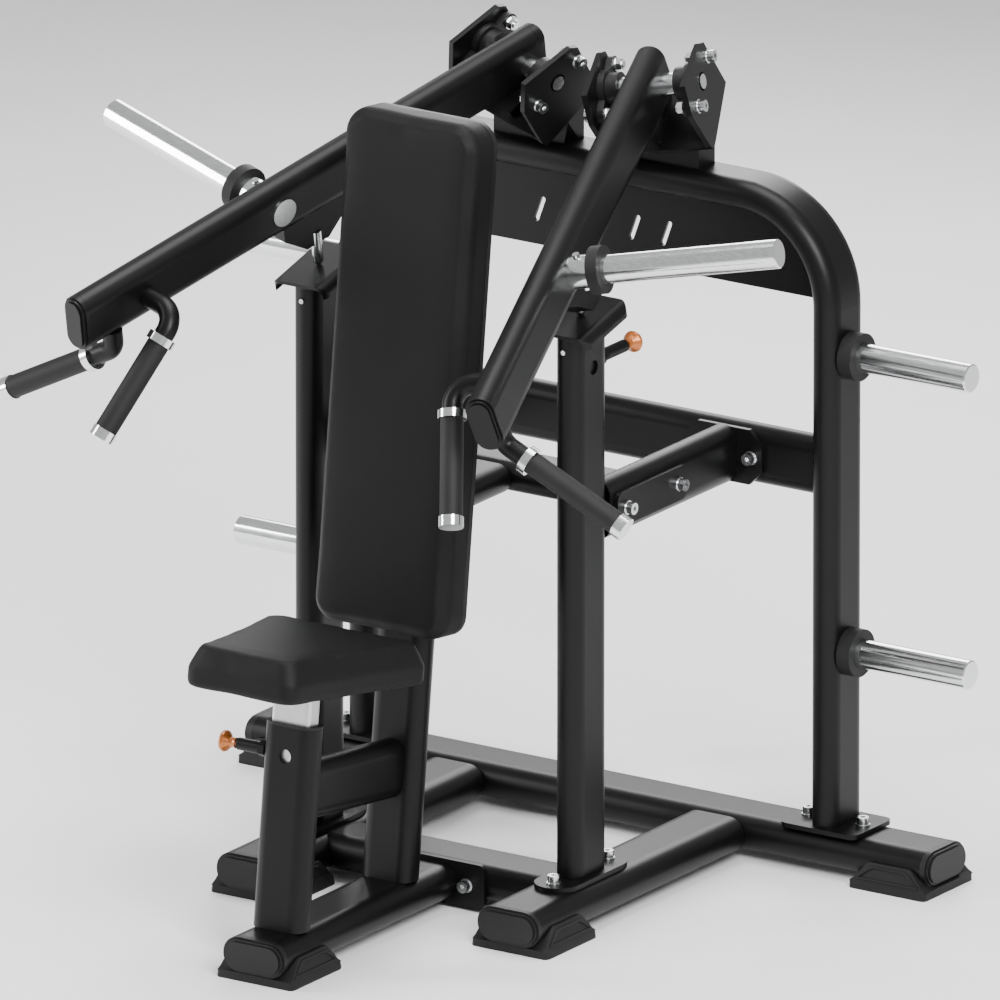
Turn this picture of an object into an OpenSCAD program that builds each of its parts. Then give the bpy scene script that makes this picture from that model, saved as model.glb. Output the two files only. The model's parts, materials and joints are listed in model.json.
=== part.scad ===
// Plate-loaded chest press machine: frame, two converging press arms, seat and backrest.
// X is across the machine, Y points to the rear, Z is up and 0 on the floor.

/* [Frame] */
// Height of the rear arch, to the top of its beam
arch_height = 1160; // [1120:5:1400]
// Distance between the centres of the two arch legs
arch_width = 911; // [880:1:1100]
// Centreline radius of the arch's top corners
arch_corner_r = 170; // [120:5:200]
// Length of the rear base tube without its caps
rear_base_length = 1314; // [1280:2:1600]
// Distance between the centres of the two side rails
rail_spacing = 512; // [480:2:600]
// Distance from the arch plane forward to the stop posts
post_forward = 457; // [440:1:560]
// Distance from the arch plane forward to the ends of the side base rails
base_rail_forward = 661; // [650:1:800]
// Distance from the arch plane forward to the end of the centre base tube
centre_base_forward = 1023; // [1005:1:1200]
// Height of the stop posts' tops
post_top = 1001; // [960:1:1100]
// Height of the mid crossbar's centre line
crossbar_height = 688; // [640:1:760]

/* [Tubes] */
// Narrow side of the frame tubes
tube_t = 50; // [44:1:54]
// Wide side of the frame tubes
tube_w = 100; // [90:1:106]
// Height of the base tubes
base_t = 60; // [54:1:66]
// Width of the base tubes
base_w = 120; // [110:1:130]
// Wall of every frame tube
wall = 3; // [2:0.5:5]
// Thickness of the mounting plates and flanges
plate_t = 8; // [6:1:10]
// Thickness of the web plate in the arch
web_t = 6; // [4:1:8]
// Depth of the web plate below the arch beam
web_drop = 138; // [110:1:200]

/* [Feet and caps] */
// Gap between the floor and the base tubes
foot_under = 15; // [10:1:22]
// Length and width of a rubber foot
foot_size = 150; // [140:1:180]
// Height of a foot's ears beside the tube
foot_ear = 47; // [38:1:54]
// Depth of an end cap
cap_depth = 18; // [14:1:24]

/* [Press arms] */
// Height of the pivot shaft's centre over the rear arch
pivot_rise = 139; // [130:1:160]
// Sideways distance from the machine's centre to the pivot
pivot_side = 128; // [124:1:160]
// Distance from the arch plane forward to the pivot
pivot_forward = 57; // [48:1:60]
// Sweep of the pivot axis towards the rear, in degrees
pivot_yaw = 13.0; // [10:0.1:14]
// Rise of the pivot axis towards the outside, in degrees
pivot_tilt = 11.1; // [9:0.1:12]
// Drop of the right arm at rest, in degrees
rest_right = 18.5; // [16:0.5:20]
// Drop of the left arm at rest, in degrees
rest_left = 16; // [15:0.5:20]
// Length of an arm from the pivot to its front end
arm_length = 969; // [940:1:1200]
// Length of an arm behind the pivot
arm_tail = 24; // [20:1:50]
// Height of the arm's centre line over the pivot
arm_offset = 6; // [0:1:12]
// Diameter of the pivot shaft
shaft_d = 25; // [20:1:30]
// Radial running clearance of the shaft in its bearings
shaft_clearance = 0.05; // [0.02:0.01:0.1]
// Distance from the pivot's centre to the inner face of a bracket plate
bracket_half = 82; // [80:1:90]

/* [Weight horns] */
// Diameter of every weight horn
horn_d = 48.3; // [38:0.1:50]
// Length of an arm horn from the arm's inner face
arm_horn_length = 415; // [360:1:500]
// Distance from the pivot to the arm horn along the arm
arm_horn_at = 546; // [520:1:600]
// Reach of the storage horns from the machine's centre
storage_reach = 718; // [700:1:860]
// Height of the upper storage horns
storage_high = 885; // [820:1:920]
// Height of the lower storage horns
storage_low = 378; // [330:1:420]
// Diameter of the rubber collars
collar_d = 80; // [70:1:90]

/* [Handles] */
// Diameter of the handle tubes
handle_d = 34; // [30:1:36]
// Wall of the grip sleeves
grip_wall = 2; // [1.5:0.5:4]
// Length of the inner grips
inner_grip = 164; // [130:1:190]
// Length of the outer grips
outer_grip = 175; // [130:1:200]

/* [Seat and backrest] */
// Backward lean of the seat post, upright and backrest, in degrees
lean = 6.8; // [5:0.1:9]
// Distance from the arch plane forward to the seat post's foot
seat_post_forward = 952; // [940:1:965]
// Distance from the arch plane forward to the upright's foot
upright_forward = 632; // [600:1:640]
// Length of the seat post along its lean
seat_post_length = 336; // [320:1:420]
// Length of the upright along its lean
upright_length = 900; // [860:1:1000]
// Length of the seat cushion
seat_length = 345; // [320:1:420]
// Width of the seat cushion at its rear
seat_rear_w = 316; // [260:1:340]
// Width of the seat cushion at its front
seat_front_w = 218; // [180:1:260]
// Thickness of the seat cushion
seat_t = 70; // [50:1:80]
// Height of the cushion's top over the seat post's top
seat_rise = 143; // [140:1:180]
// Width of the backrest pad
back_w = 265; // [240:1:320]
// Height of the backrest pad
back_h = 874; // [780:1:900]
// Thickness of the backrest pad without its board
back_t = 55; // [45:1:60]
// Thickness of the backrest's board
board_t = 18; // [12:1:20]
// Seat travel below its rest height
seat_down = 40; // [20:1:60]
// Seat travel above its rest height
seat_up = 120; // [60:1:140]

/* [Stops and pins] */
// Slope of the catch plates, in degrees
catch_slope = 14.4; // [10:0.1:18]
// Height of a catch plate's underside over its post
catch_lift = 26; // [22:1:60]
// Diameter of the stop pins
stop_pin_d = 18; // [14:1:22]
// Diameter of the pull pin barrels
barrel_d = 21; // [18:1:26]
// Diameter of the plungers
plunger_d = 10; // [8:1:12]
// Diameter of the pull knobs
knob_d = 36; // [30:1:42]
// Travel of a pull pin
pin_travel = 10; // [8:1:14]

/* [Hidden] */
$fn = 64;

BLACK = [0.05, 0.05, 0.055];
GREY = [0.22, 0.22, 0.22];
CHROME = [0.85, 0.86, 0.88];
COPPER = [0.78, 0.47, 0.2];
gap = 0.3;
bolt_d = 12;
hole_d = bolt_d + 1;
head_d = 20;
head_h = 12;
washer_t = 2.5;
base_z = foot_under + base_t / 2;
base_top = foot_under + base_t;
leg_x = arch_width / 2;
rail_x = rail_spacing / 2;
beam_z = arch_height - tube_t / 2;
pivot_height = arch_height + pivot_rise;
grip_d = handle_d + 2 * grip_wall;
seat_front_y = -seat_post_forward + (seat_post_length + seat_rise) * sin(lean)
    - 0.54 * seat_length * cos(lean);
arch_y = -(seat_front_y + foot_size / 2) / 2;
rail_end = post_forward - tube_w / 2 - gap;
tee_forward = 302;
flange_bolt = 54;
rail_bolts = [-370, -217];
leg_foot_bolt = 53;
post_foot_bolt = 80;
joint_bolt = 78;
joint_front = post_forward + base_w / 2 + plate_t + gap;
cushion_bottom = seat_post_length + seat_rise - seat_t;
seat_band = 30;
seat_bevel = 18;
back_low = 418;
grip_from = 50;
trim_t = 14;
catch_tube = [tube_t - 2 * wall - 4, tube_w - 2 * wall - 8];
shaft_hole_d = shaft_d + 2 * shaft_clearance;
bearing_t = 12;
boss_t = 20;
boss_d = 56;
boss_ring_d = 38;
bearing_bolt_r = 49.5;
bearing_bolt_turn = 40;
bracket_t = 10;
stub_inner = 72;
stub_outer = 31;
bend_inner = 35;
bend_outer = 27;
splay_inner = 91;
splay_outer = 56.6;
drop_inner = 130.5;
turn_outer = -21.4;
inner_at = [-tube_t / 2, -848, 1];
outer_at = [-9, -915, arm_offset - tube_w / 2];
horn_lift = -2;
horn_root_d = horn_d - 0.5;
horn_chamfer = 2;
horn_disc_t = 3;
horn_fit = 0.4;
storage_collar_t = 25;
collar_t = 20;
collar_at = 98;
stop_bracket_h = 55;
slide_room_w = 20;
slide_room_t = 10;
inner_tube_w = tube_w - 2 * wall - slide_room_w;
inner_tube_t = tube_t - 2 * wall - slide_room_t;
slide_low = 60;
pin_drop = 48;
catch_tube_len = 150;
catch_pin_z = post_top - 53;
catch_l = 136;
catch_w = 104;
catch_t = 6;
catch_roll = 18;
set_screw_d = 8;
pad_gap = 0.5;
weld = 0.04;

// Places children in the arch plane's frame
module placed() translate([0, arch_y, 0]) children();
// Repeats children on the right and, mirrored, on the left
module both() for (m = [0, 1]) mirror([m, 0, 0]) children();
// A flat oval outline, w across and h deep
module flat_oval(w, h) {
    r = min(w, h) / 2;
    square([w, h] - (w > h ? [2 * r, 0] : [0, 2 * r]), center = true);
    for (s = [-1, 1]) translate([w > h ? s * (w / 2 - r) : 0, w > h ? 0 : s * (h / 2 - r)]) circle(r);
}
// A rectangle with rounded corners
module round_rect(w, h, r) {
    square([w - 2 * r, h], center = true);
    square([w, h - 2 * r], center = true);
    for (x = [-1, 1], y = [-1, 1]) translate([x * (w / 2 - r), y * (h / 2 - r)]) circle(r);
}
// A hollow flat oval tube along +Z
module tube(w, h, length, t = wall) linear_extrude(length) difference() {
    flat_oval(w, h);
    flat_oval(w - 2 * t, h - 2 * t);
}
// A solid flat oval bar along +Z
module bar(w, h, length) linear_extrude(length) flat_oval(w, h);
// A ring along +Z
module ring(outer, inner, length) difference() {
    cylinder(d = outer, h = length);
    translate([0, 0, -1]) cylinder(d = inner, h = length + 2);
}
// A hexagon prism with the given width across flats
module hex(across, h) cylinder(d = across / cos(30), h = h, $fn = 6);
// A cap screw whose head stands on z = 0 and whose shank goes down
module cap_screw(shank) {
    difference() {
        union() {
            cylinder(d = 24, h = washer_t);
            translate([0, 0, washer_t]) cylinder(d = head_d, h = head_h);
        }
        translate([0, 0, washer_t + head_h - 6]) hex(8, 7);
    }
    translate([0, 0, -shank]) cylinder(d = bolt_d, h = shank);
}
// A hexagon nut on its washer, standing on z = 0 around a shank
module nut() {
    cylinder(d = 24, h = washer_t);
    translate([0, 0, washer_t]) hex(18, 10);
    translate([0, 0, washer_t + 10]) cylinder(d = bolt_d, h = 3);
}

// ---- root frame ----
module base_along_x(w, h, length) translate([-length / 2, 0, base_z]) rotate([0, 90, 0])
    rotate([0, 0, 90]) bar(w, h, length);
module base_along_y(x, y0, y1, w, h) translate([x, y1, base_z]) rotate([90, 0, 0]) bar(w, h, y1 - y0);

module rear_base_tube() color(BLACK) placed() difference() {
    base_along_x(base_w, base_t, rear_base_length);
    base_along_x(base_w - 2 * wall, base_t - 2 * wall, rear_base_length + 2);
    both() for (s = [-1, 1]) translate([leg_x + s * leg_foot_bolt, 0, base_z]) cylinder(d = hole_d, h = base_t);
}

module arch_run(w, h, extra) {
    r = arch_corner_r;
    both() translate([leg_x, 0, base_top + plate_t - extra])
        bar(w, h, beam_z - r - base_top - plate_t + extra);
    both() translate([leg_x - r, 0, beam_z - r]) rotate([90, 0, 0])
        rotate_extrude(angle = 90) translate([r, 0]) flat_oval(w, h);
    translate([-leg_x + r, 0, beam_z]) rotate([0, 90, 0]) bar(w, h, 2 * (leg_x - r));
}
module rear_arch() color(BLACK) placed() {
    difference() {
        arch_run(tube_t, tube_w, 0);
        arch_run(tube_t - 2 * wall, tube_w - 2 * wall, 1);
        for (z = [storage_low, storage_high]) translate([0, 0, z]) rotate([0, 90, 0])
            cylinder(d = horn_root_d + horn_fit, h = 2 * storage_reach, center = true);
    }
    both() translate([leg_x, 0, base_top]) linear_extrude(plate_t) difference() {
        round_rect(150, 118, 16);
        for (s = [-1, 1]) translate([s * 53, 0]) circle(d = hole_d);
    }
}

module arch_web_plate() color(BLACK) placed() {
    half = leg_x - tube_t / 2 - gap;
    top = beam_z - tube_t / 2 - gap;
    r = arch_corner_r - tube_t / 2 - gap;
    translate([0, web_t / 2, 0]) rotate([90, 0, 0]) linear_extrude(web_t) difference() {
        union() {
            translate([-half, top - web_drop]) square([2 * half, web_drop - r + 0.01]);
            translate([-half + r, top - r]) square([2 * (half - r), r]);
            both() translate([half - r, top - r]) circle(r);
        }
        translate([-leg_x, top - web_drop - 200]) square([2 * leg_x, 200]);
        for (k = [-2:2]) translate([k * 62, top - web_drop / 2 - 8]) rotate(-20) flat_oval(9, 46);
    }
}

module mid_crossbar() color(BLACK) placed() {
    half = leg_x - tube_t / 2 - gap;
    translate([-half, 0, crossbar_height]) rotate([0, 90, 0])
        difference() {
            bar(tube_w, tube_t, 2 * half);
            translate([0, 0, -1]) bar(tube_w - 2 * wall, tube_t - 2 * wall, 2 * half + 2);
            for (s = [-1, 1], k = [-1, 1]) translate([0, 0, half + s * rail_x + k * flange_bolt])
                rotate([90, 0, 0]) cylinder(d = hole_d, h = tube_t);
        }
}

module rail_body(w, h, inset) translate([rail_x, -tube_t / 2 - plate_t - inset, crossbar_height])
    rotate([90, 0, 0]) bar(w, h, rail_end - tube_t / 2 - plate_t - 2 * inset);
module side_rails() color(BLACK) placed() both() {
    difference() {
        rail_body(tube_t, tube_w, 0);
        rail_body(tube_t - 2 * wall, tube_w - 2 * wall, -1);
        for (y = rail_bolts) translate([rail_x, y, crossbar_height]) rotate([0, 90, 0])
            cylinder(d = hole_d, h = tube_t);
    }
    translate([rail_x, -tube_t / 2, crossbar_height]) rotate([90, 0, 0]) linear_extrude(plate_t)
        difference() {
            polygon([for (s = [[1, 1], [-1, 1], [-1, -1], [1, -1]], k = [0, 1])
                let (p = (s[0] * s[1] > 0) == (k == 0) ? [75, 22] : [50, 47]) [s[0] * p[0], s[1] * p[1]]]);
            for (s = [-1, 1]) translate([s * flange_bolt, 0]) circle(d = hole_d);
        }
}
module rail_plates() color(BLACK) placed() both()
    translate([rail_x + tube_t / 2 + gap, -295, crossbar_height]) rotate([90, 0, 90])
        linear_extrude(plate_t) difference() {
            round_rect(205, 58, 14);
            for (y = [-75, 78]) translate([y, 0]) circle(d = hole_d);
        }

module back_tee_frame() color(BLACK) placed() {
    half = rail_x - tube_t / 2 - gap;
    z = crossbar_height;
    front = upright_forward - (z - base_top) * tan(lean) - tube_t / 2 / cos(lean);
    translate([-half, -tee_forward, z]) rotate([0, 90, 0]) tube(tube_t, tube_w, 2 * half);
    translate([0, -tee_forward - tube_w / 2 - gap, z]) rotate([90, 0, 0]) difference() {
        tube(tube_w, tube_t, front - tee_forward - tube_w / 2 - 4);
    }
}

module side_rail_solid(w, h, extra) both()
    base_along_y(rail_x, -base_rail_forward - extra, -base_w / 2 - gap + extra, w, h);
module base_side_rails() color(BLACK) placed() difference() {
    side_rail_solid(base_w, base_t, 0);
    side_rail_solid(base_w - 2 * wall, base_t - 2 * wall, 1);
    both() for (s = [-1, 1]) translate([rail_x, -post_forward + s * 80, base_z])
        cylinder(d = hole_d, h = base_t);
}
module base_cross_tube() color(BLACK) placed() difference() {
    translate([0, -post_forward, 0]) difference() {
        base_along_x(base_w, base_t, rail_spacing - base_w / 2);
        base_along_x(base_w - 2 * wall, base_t - 2 * wall, rail_spacing);
    }
    side_rail_solid(base_w + 2 * gap, base_t + 2 * gap, 0);
    for (s = [-1, 1]) translate([s * 78, -post_forward, base_z]) rotate([90, 0, 0])
        cylinder(d = hole_d, h = base_w);
}
module centre_base_tube() color(BLACK) placed() difference() {
    base_along_y(0, -centre_base_forward, -joint_front - gap, base_w, base_t);
    base_along_y(0, -centre_base_forward - 1, -joint_front + 1, base_w - 2 * wall, base_t - 2 * wall);
}
module base_joint_bracket() color(BLACK) placed() translate([0, -post_forward - base_w / 2 - gap, base_z])
    rotate([90, 0, 0]) linear_extrude(plate_t) difference() {
        round_rect(224, base_t + 16, 10);
        for (s = [-1, 1]) translate([s * 78, 0]) circle(d = hole_d);
    }

// ---- leaned posts ----
module leaned(forward) translate([0, -forward, base_top]) rotate([-lean, 0, 0]) children();
module floor_cut() translate([0, -700, base_top + gap - 50]) cube([300, 800, 100], center = true);
module seat_post() color(BLACK) placed() difference() {
    leaned(seat_post_forward) difference() {
        translate([0, 0, -20]) tube(tube_w, tube_t, seat_post_length + 20);
        translate([0, -tube_t / 2, seat_post_length - pin_drop]) rotate([90, 0, 0])
            cylinder(d = 24, h = 30, center = true);
        translate([-tube_w / 2, 0, seat_post_length - pin_drop]) rotate([0, 90, 0])
            cylinder(d = plunger_d + 0.6, h = 30, center = true);
    }
    floor_cut();
}
module back_upright() color(BLACK) placed() difference() {
    leaned(upright_forward) translate([0, 0, -20]) tube(tube_w, tube_t, upright_length + 20);
    floor_cut();
}
module seat_link_tube() color(BLACK) placed() leaned(seat_post_forward)
    translate([0, tube_t / 2 + gap, seat_post_length - 113]) rotate([-90, 0, 0])
        tube(tube_t, tube_w, (upright_forward - seat_post_forward) * -cos(lean) - tube_t - 2 * gap);

module post_solid(w, h, z0, z1) both() translate([rail_x, -post_forward, z0]) bar(w, h, z1 - z0);
module stop_posts() color(BLACK) placed() difference() {
    post_solid(tube_t, tube_w, base_top + plate_t + gap, post_top);
    post_solid(tube_t - 2 * wall, tube_w - 2 * wall, base_top, post_top + 1);
    both() translate([rail_x + tube_t / 2, -post_forward, catch_pin_z]) rotate([0, 90, 0])
        cylinder(d = 24, h = 30, center = true);
    both() translate([rail_x, -post_forward + tube_w / 2, catch_pin_z]) rotate([90, 0, 0])
        cylinder(d = plunger_d + 0.6, h = 30, center = true);
}
module post_foot_plates() color(BLACK) placed() both() translate([rail_x, -post_forward, base_top])
    linear_extrude(plate_t) difference() {
        flat_oval(78, 212);
        for (s = [-1, 1]) translate([0, s * 80]) circle(d = hole_d);
    }

// A stepped end cap along +Z for a flat oval tube, with a plug that goes into the tube
module end_cap(w, h, plug = 25) {
    linear_extrude(cap_depth * 0.55) flat_oval(w, h);
    linear_extrude(cap_depth * 0.8) flat_oval(w - 6, h - 6);
    linear_extrude(cap_depth) flat_oval(w - 14, h - 14);
    translate([0, 0, -plug]) linear_extrude(plug) flat_oval(w - 2 * wall - 0.6, h - 2 * wall - 0.6);
}
module end_caps() color(GREY) placed() {
    both() translate([rear_base_length / 2 + gap, 0, base_z]) rotate([90, 0, 90]) end_cap(base_w, base_t);
    both() translate([rail_x, -base_rail_forward - gap, base_z]) rotate([90, 0, 0]) end_cap(base_w, base_t);
    translate([0, -centre_base_forward - gap, base_z]) rotate([90, 0, 0]) end_cap(base_w, base_t);
}

// A rubber foot across +Z that wraps the underside of a base tube
module foot() linear_extrude(foot_size, center = true) difference() {
    polygon([[-foot_size / 2, 0], [foot_size / 2, 0], [foot_size / 2 - 5, 12],
        [base_w / 2 + 3, foot_ear], [-base_w / 2 - 3, foot_ear], [-foot_size / 2 + 5, 12]]);
    translate([0, base_z]) flat_oval(base_w + 2 * gap, base_t + 2 * gap);
    translate([-base_w, base_z]) square([2 * base_w, base_t]);
}
module rubber_feet() color(GREY) placed() {
    both() translate([rear_base_length / 2 - 55, 0, 0]) rotate([90, 0, 90]) foot();
    both() translate([rail_x, -base_rail_forward + 66, 0]) rotate([90, 0, 0]) foot();
    translate([0, -centre_base_forward + 64, 0]) rotate([90, 0, 0]) foot();
}

module frame_bolts() color(CHROME) placed() both() {
    for (s = [-1, 1]) {
        translate([leg_x + s * leg_foot_bolt, 0, base_top + plate_t]) cap_screw(plate_t + wall);
        translate([rail_x, -post_forward + s * post_foot_bolt, base_top + plate_t])
            cap_screw(plate_t + wall);
        translate([rail_x + s * flange_bolt, -tube_t / 2 - plate_t, crossbar_height]) rotate([90, 0, 0])
            cap_screw(plate_t + wall);
    }
    for (y = rail_bolts) translate([rail_x + tube_t / 2 + gap + plate_t, y, crossbar_height])
        rotate([0, 90, 0]) cap_screw(plate_t + wall);
    translate([joint_bolt, -joint_front, base_z]) rotate([90, 0, 0]) cap_screw(plate_t + wall);
    translate([rail_x, -post_forward - tube_w / 2 - gap, post_top - 19]) rotate([90, 0, 0]) set_screw();
}
module set_screw() difference() {
    cylinder(d = set_screw_d, h = 3);
    translate([0, 0, 1]) hex(set_screw_d / 2, 3);
}

// ---- weight storage ----
// A horn along +Z: a slightly thinner root, then the full diameter with a chamfered end
module horn(root, total) rotate_extrude() polygon([[0, 0], [horn_root_d / 2, 0],
    [horn_root_d / 2, root], [horn_d / 2, root], [horn_d / 2, total - horn_chamfer],
    [horn_d / 2 - horn_chamfer, total], [0, total]]);
module storage_horns() color(CHROME) placed() both() for (z = [storage_low, storage_high])
    translate([leg_x - tube_t / 2, 0, z]) rotate([0, 90, 0])
        horn(tube_t + 2 * gap + storage_collar_t, storage_reach - leg_x + tube_t / 2);
module storage_collars() color(GREY) placed() both() for (z = [storage_low, storage_high])
    translate([leg_x + tube_t / 2 + gap, 0, z]) rotate([0, 90, 0])
        ring(collar_d, horn_root_d + horn_fit, storage_collar_t);

// ---- pivots ----
module at_bracket() both() translate([pivot_side, -pivot_forward, pivot_height])
    rotate([0, -pivot_tilt, pivot_yaw]) children();
module bearing_holes(extra) for (s = [-1, 1]) rotate(bearing_bolt_turn)
    translate([s * bearing_bolt_r, 0]) circle(d = hole_d + extra);
bracket_outline = [[19, 59], [35, 57], [97, -29], [12, -103], [-3, -114], [-14, -108], [-68, -40], [-76, 13]];
bracket_slope = atan2(bracket_outline[2][1] - bracket_outline[3][1],
    bracket_outline[2][0] - bracket_outline[3][0]);
module pivot_brackets() color(BLACK) placed() {
    at_bracket() {
        for (s = [-1, 1]) translate([s > 0 ? bracket_half : -bracket_half - bracket_t, 0, 0])
            rotate([90, 0, 90]) linear_extrude(bracket_t) difference() {
                polygon(bracket_outline);
                circle(d = shaft_d + 6);
                bearing_holes(0);
            }
        translate([0, bracket_outline[4][0], bracket_outline[4][1]]) rotate([bracket_slope, 0, 0])
            translate([-bracket_half, 0, 0]) cube([2 * bracket_half, 116, plate_t]);
        translate([0, bracket_outline[4][0], bracket_outline[4][1]]) rotate([bracket_slope, 0, 0])
            translate([-plate_t / 2, 10, plate_t]) cube([plate_t, 96, 12]);
    }
    both() difference() {
        translate([55, -24, arch_height]) cube([146, 48, 90]);
        translate([pivot_side, -pivot_forward, pivot_height]) rotate([0, -pivot_tilt, pivot_yaw])
            translate([0, bracket_outline[4][0], bracket_outline[4][1]])
                rotate([bracket_slope, 0, 0]) translate([-200, -200, 0]) cube([400, 500, 300]);
        translate([pivot_side, -pivot_forward, pivot_height]) rotate([0, -pivot_tilt, pivot_yaw])
            for (s = [0, 1]) mirror([s, 0, 0]) translate([bracket_half - 0.1, -200, -150])
                cube([bracket_t + 200.1, 500, 300]);
    }
}
module bearing_housings() color(GREY) placed() at_bracket() for (s = [0, 1]) mirror([s, 0, 0])
    translate([bracket_half - bearing_t, 0, 0]) rotate([90, 0, 90]) difference() {
        union() {
            linear_extrude(bearing_t - gap) rotate(bearing_bolt_turn) {
                flat_oval(2 * bearing_bolt_r + 30, 30);
                circle(d = boss_d + 12);
            }
            translate([0, 0, -boss_t]) cylinder(d = boss_d, h = boss_t);
        }
        translate([0, 0, -boss_t - 1]) cylinder(d = shaft_hole_d, h = boss_t + bearing_t + 2);
        linear_extrude(3 * bearing_t, center = true) bearing_holes(0);
    }
module bearing_bolts() color(CHROME) placed() at_bracket() for (s = [0, 1]) mirror([s, 0, 0])
    rotate([90, 0, 90]) rotate(bearing_bolt_turn) for (k = [-1, 1]) translate([k * bearing_bolt_r, 0, 0]) {
        translate([0, 0, bracket_half + bracket_t]) cap_screw(bracket_t + bearing_t);
        translate([0, 0, bracket_half - bearing_t]) mirror([0, 0, 1]) nut();
    }

// ---- small frame parts ----
module tube_bushes() color(GREY) placed() {
    both() translate([rail_x, -post_forward, post_top + gap]) linear_extrude(7) difference() {
        flat_oval(tube_t, tube_w);
        flat_oval(catch_tube[0] + 1, catch_tube[1] + 1);
    }
    leaned(seat_post_forward) translate([0, 0, seat_post_length + gap]) linear_extrude(5) difference() {
        flat_oval(tube_w, tube_t);
        round_rect(inner_tube_w + 2, inner_tube_t + 2, 8);
    }
}
module barrel_at(which) {
    if (which == "seat") placed() leaned(seat_post_forward)
        translate([-tube_w / 2, 0, seat_post_length - pin_drop]) rotate([0, -90, 0]) children();
    else placed() mirror([which == "left" ? 1 : 0, 0, 0])
        translate([rail_x, -post_forward + tube_w / 2, catch_pin_z]) rotate([-90, 0, 0]) children();
}
function barrel_length(which) = which == "seat" ? 55 : 77;
module pull_pin_barrels() color(BLACK) for (w = ["seat", "right", "left"]) barrel_at(w)
    translate([0, 0, gap]) difference() {
        union() {
            cylinder(d = barrel_d, h = barrel_length(w));
            hex(barrel_d + 3, 12);
        }
        translate([0, 0, -1]) cylinder(d = plunger_d + 1, h = barrel_length(w) + 2);
    }
module plunger(which) color(CHROME) barrel_at(which) translate([0, 0, -7])
    cylinder(d = plunger_d, h = barrel_length(which) + 12);
module knob(which) color(COPPER) barrel_at(which) translate([0, 0, barrel_length(which) + 5 + gap])
    rotate_extrude() polygon([[0, 0], [knob_d / 2 - 9, 0], [knob_d / 2 - 10, 5], [knob_d / 2 - 9, 10],
        [knob_d / 2 - 5, 15], [knob_d / 2 - 1, 19], [knob_d / 2, 22], [knob_d / 2 - 1, 25],
        [knob_d / 2 - 6, 28], [0, 30]]);
module seat_pin() plunger("seat");
module seat_pin_knob() knob("seat");
module catch_pin_right() plunger("right");
module catch_pin_knob_right() knob("right");
module catch_pin_left() plunger("left");
module catch_pin_knob_left() knob("left");

// Cross-section of a catch plate: flat, with both edges rolled down
module catch_profile() {
    flat = catch_w - 2 * catch_roll;
    translate([-flat / 2, 0]) square([flat, catch_t]);
    for (s = [0, 1]) mirror([s, 0]) translate([flat / 2, catch_t - catch_roll]) {
        intersection() {
            difference() {
                circle(r = catch_roll);
                circle(r = catch_roll - catch_t);
            }
            square(catch_roll);
        }
        translate([catch_roll - catch_t, -6]) square([catch_t, 6]);
    }
}
module catch(m) color(BLACK) placed() mirror([m, 0, 0]) translate([rail_x, -post_forward, post_top]) {
    translate([0, 0, catch_lift]) rotate([catch_slope, 0, 0]) intersection() {
        translate([0, 0, -40]) linear_extrude(60) round_rect(catch_w, catch_l, 18);
        translate([0, catch_l / 2, 0]) rotate([90, 0, 0]) linear_extrude(catch_l) catch_profile();
    }
    difference() {
        translate([0, 0, -catch_tube_len]) tube(catch_tube[0], catch_tube[1],
            catch_tube_len + catch_lift + 30);
        translate([0, 0, catch_lift + catch_t / 2]) rotate([catch_slope, 0, 0])
            translate([-50, -90, 0]) cube([100, 180, 80]);
        translate([0, tube_w / 2 - 8, catch_pin_z - post_top]) rotate([90, 0, 0])
            cylinder(d = plunger_d + 2, h = 40, center = true);
    }
}
module catch_right() catch(0);
module catch_left() catch(1);

// ---- press arms ----
function rest_angle(m) = m == 0 ? rest_right : rest_left;
// Maps a world direction into the frame of the right-hand arm, for an arm at angle a
function arm_rows(a) = let (t = pivot_tilt, y = pivot_yaw) [
    [cos(t) * cos(y), cos(t) * sin(y), sin(t)],
    [-sin(a) * sin(t) * cos(y) - cos(a) * sin(y), -sin(a) * sin(t) * sin(y) + cos(a) * cos(y),
        sin(a) * cos(t)],
    [-cos(a) * sin(t) * cos(y) + sin(a) * sin(y), -cos(a) * sin(t) * sin(y) - sin(a) * cos(y),
        cos(a) * cos(t)]];
module at_arm(m) placed() mirror([m, 0, 0]) translate([pivot_side, -pivot_forward, pivot_height])
    rotate([rest_angle(m), -pivot_tilt, pivot_yaw]) children();
// The centre of the stop pin's round tip, resting on the catch plate, in the arm's frame
function tip_centre(m) = arm_rows(rest_angle(m)) * (
    [rail_x, -post_forward, post_top + catch_lift]
    + (catch_t / cos(catch_slope)) * [0, 0, 1]
    + (stop_pin_d / 2 + gap) * [0, -sin(catch_slope), cos(catch_slope)]
    - [pivot_side, -pivot_forward, pivot_height]);

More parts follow.
